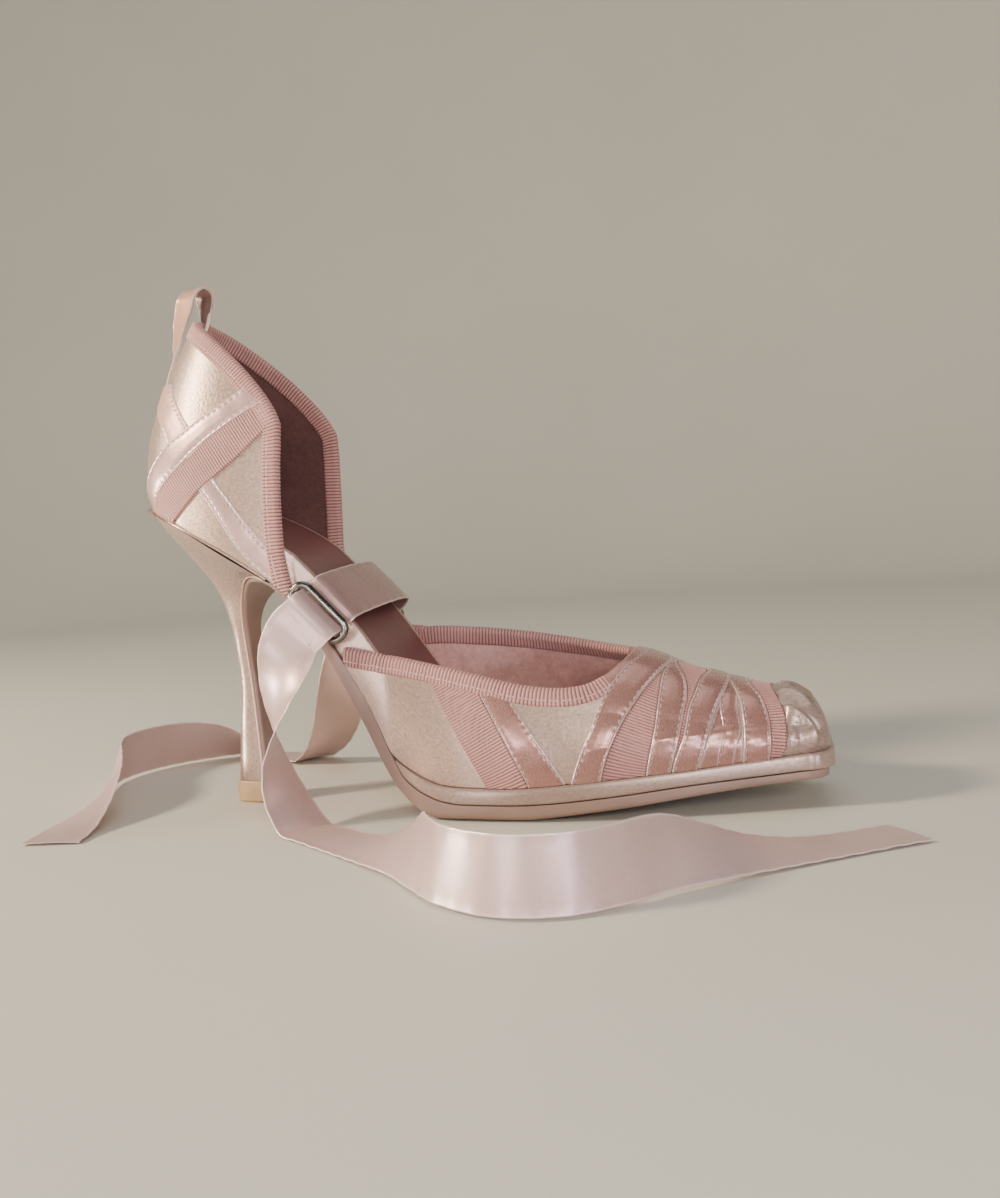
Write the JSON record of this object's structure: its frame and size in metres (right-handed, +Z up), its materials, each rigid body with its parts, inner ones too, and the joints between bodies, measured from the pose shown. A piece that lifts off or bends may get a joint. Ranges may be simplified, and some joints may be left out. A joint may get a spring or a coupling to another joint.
{
  "type": "stiletto heel shoe",
  "caption": "Square-toe satin stiletto with crossed bands on vamp and counter, side cut-outs, wire rings, a ribbon tie with two free ends, thin covered platform and back pull loop.",
  "frame": {"origin": "on the floor, below the middle of the shoe's own length and width, its free ribbon ends left out", "axes": "+X from the heel's back to the toe, +Y to the wearer's left (the inner side of this right shoe), +Z up"},
  "size_m": [0.2872, 0.2065, 0.1782],
  "materials": {
    "outsole": "satin",
    "platform_rand": "satin",
    "insole": "matte",
    "vamp": "satin",
    "quarter": "satin",
    "heel": "satin",
    "top_piece": "satin",
    "pull_loop": "satin",
    "ring_right": "polished",
    "ring_left": "polished",
    "keeper_right": "satin",
    "keeper_left": "satin",
    "ribbon_instep": "satin",
    "ribbon_end_right": "satin",
    "ribbon_end_left": "satin"
  },
  "bodies": {
    "root": {"outsole": "outsole", "platform_rand": "platform_rand", "insole": "insole", "vamp": "vamp", "quarter": "quarter", "heel": "heel", "top_piece": "top_piece", "pull_loop": "pull_loop", "ring_right": "ring_right", "ring_left": "ring_left", "keeper_right": "keeper_right", "keeper_left": "keeper_left", "ribbon_instep": "ribbon_instep", "ribbon_end_right": "ribbon_end_right", "ribbon_end_left": "ribbon_end_left"}
  },
  "joints": []
}
